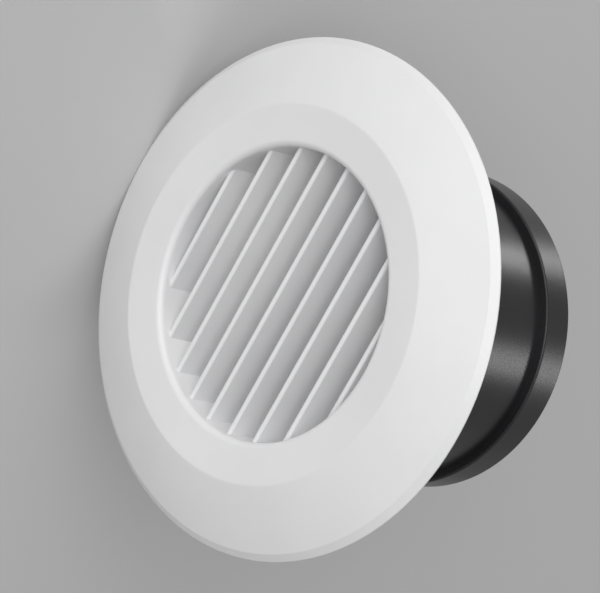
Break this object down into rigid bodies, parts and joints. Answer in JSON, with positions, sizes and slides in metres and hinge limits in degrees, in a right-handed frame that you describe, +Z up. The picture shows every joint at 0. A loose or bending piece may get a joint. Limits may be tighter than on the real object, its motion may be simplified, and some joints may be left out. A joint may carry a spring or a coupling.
{
  "type": "wall ventilation grille",
  "caption": "Round domed wall vent grille with parallel louvre blades moulded in one with its flange, snapped onto a long duct collar with an insect screen behind the blades.",
  "frame": {"origin": "on the grille's axis in the wall plane, where the flange's rim rests; it is the middle of the opening in the wall", "axes": "+Y along the axis from the face into the wall and duct, so the louvred face looks along -Y; +Z up; the blades run along X, with their noses lowest"},
  "size_m": [0.15, 0.0794, 0.15],
  "materials": {
    "white_abs": "satin white ABS",
    "black_abs": "satin black ABS",
    "grey_nylon": "matt grey nylon",
    "steel_wire": "woven stainless wire"
  },
  "bodies": {
    "root": {"face_grille": "white_abs", "duct_collar": "black_abs", "screen_frame": "grey_nylon", "screen_mesh": "steel_wire"}
  },
  "joints": []
}
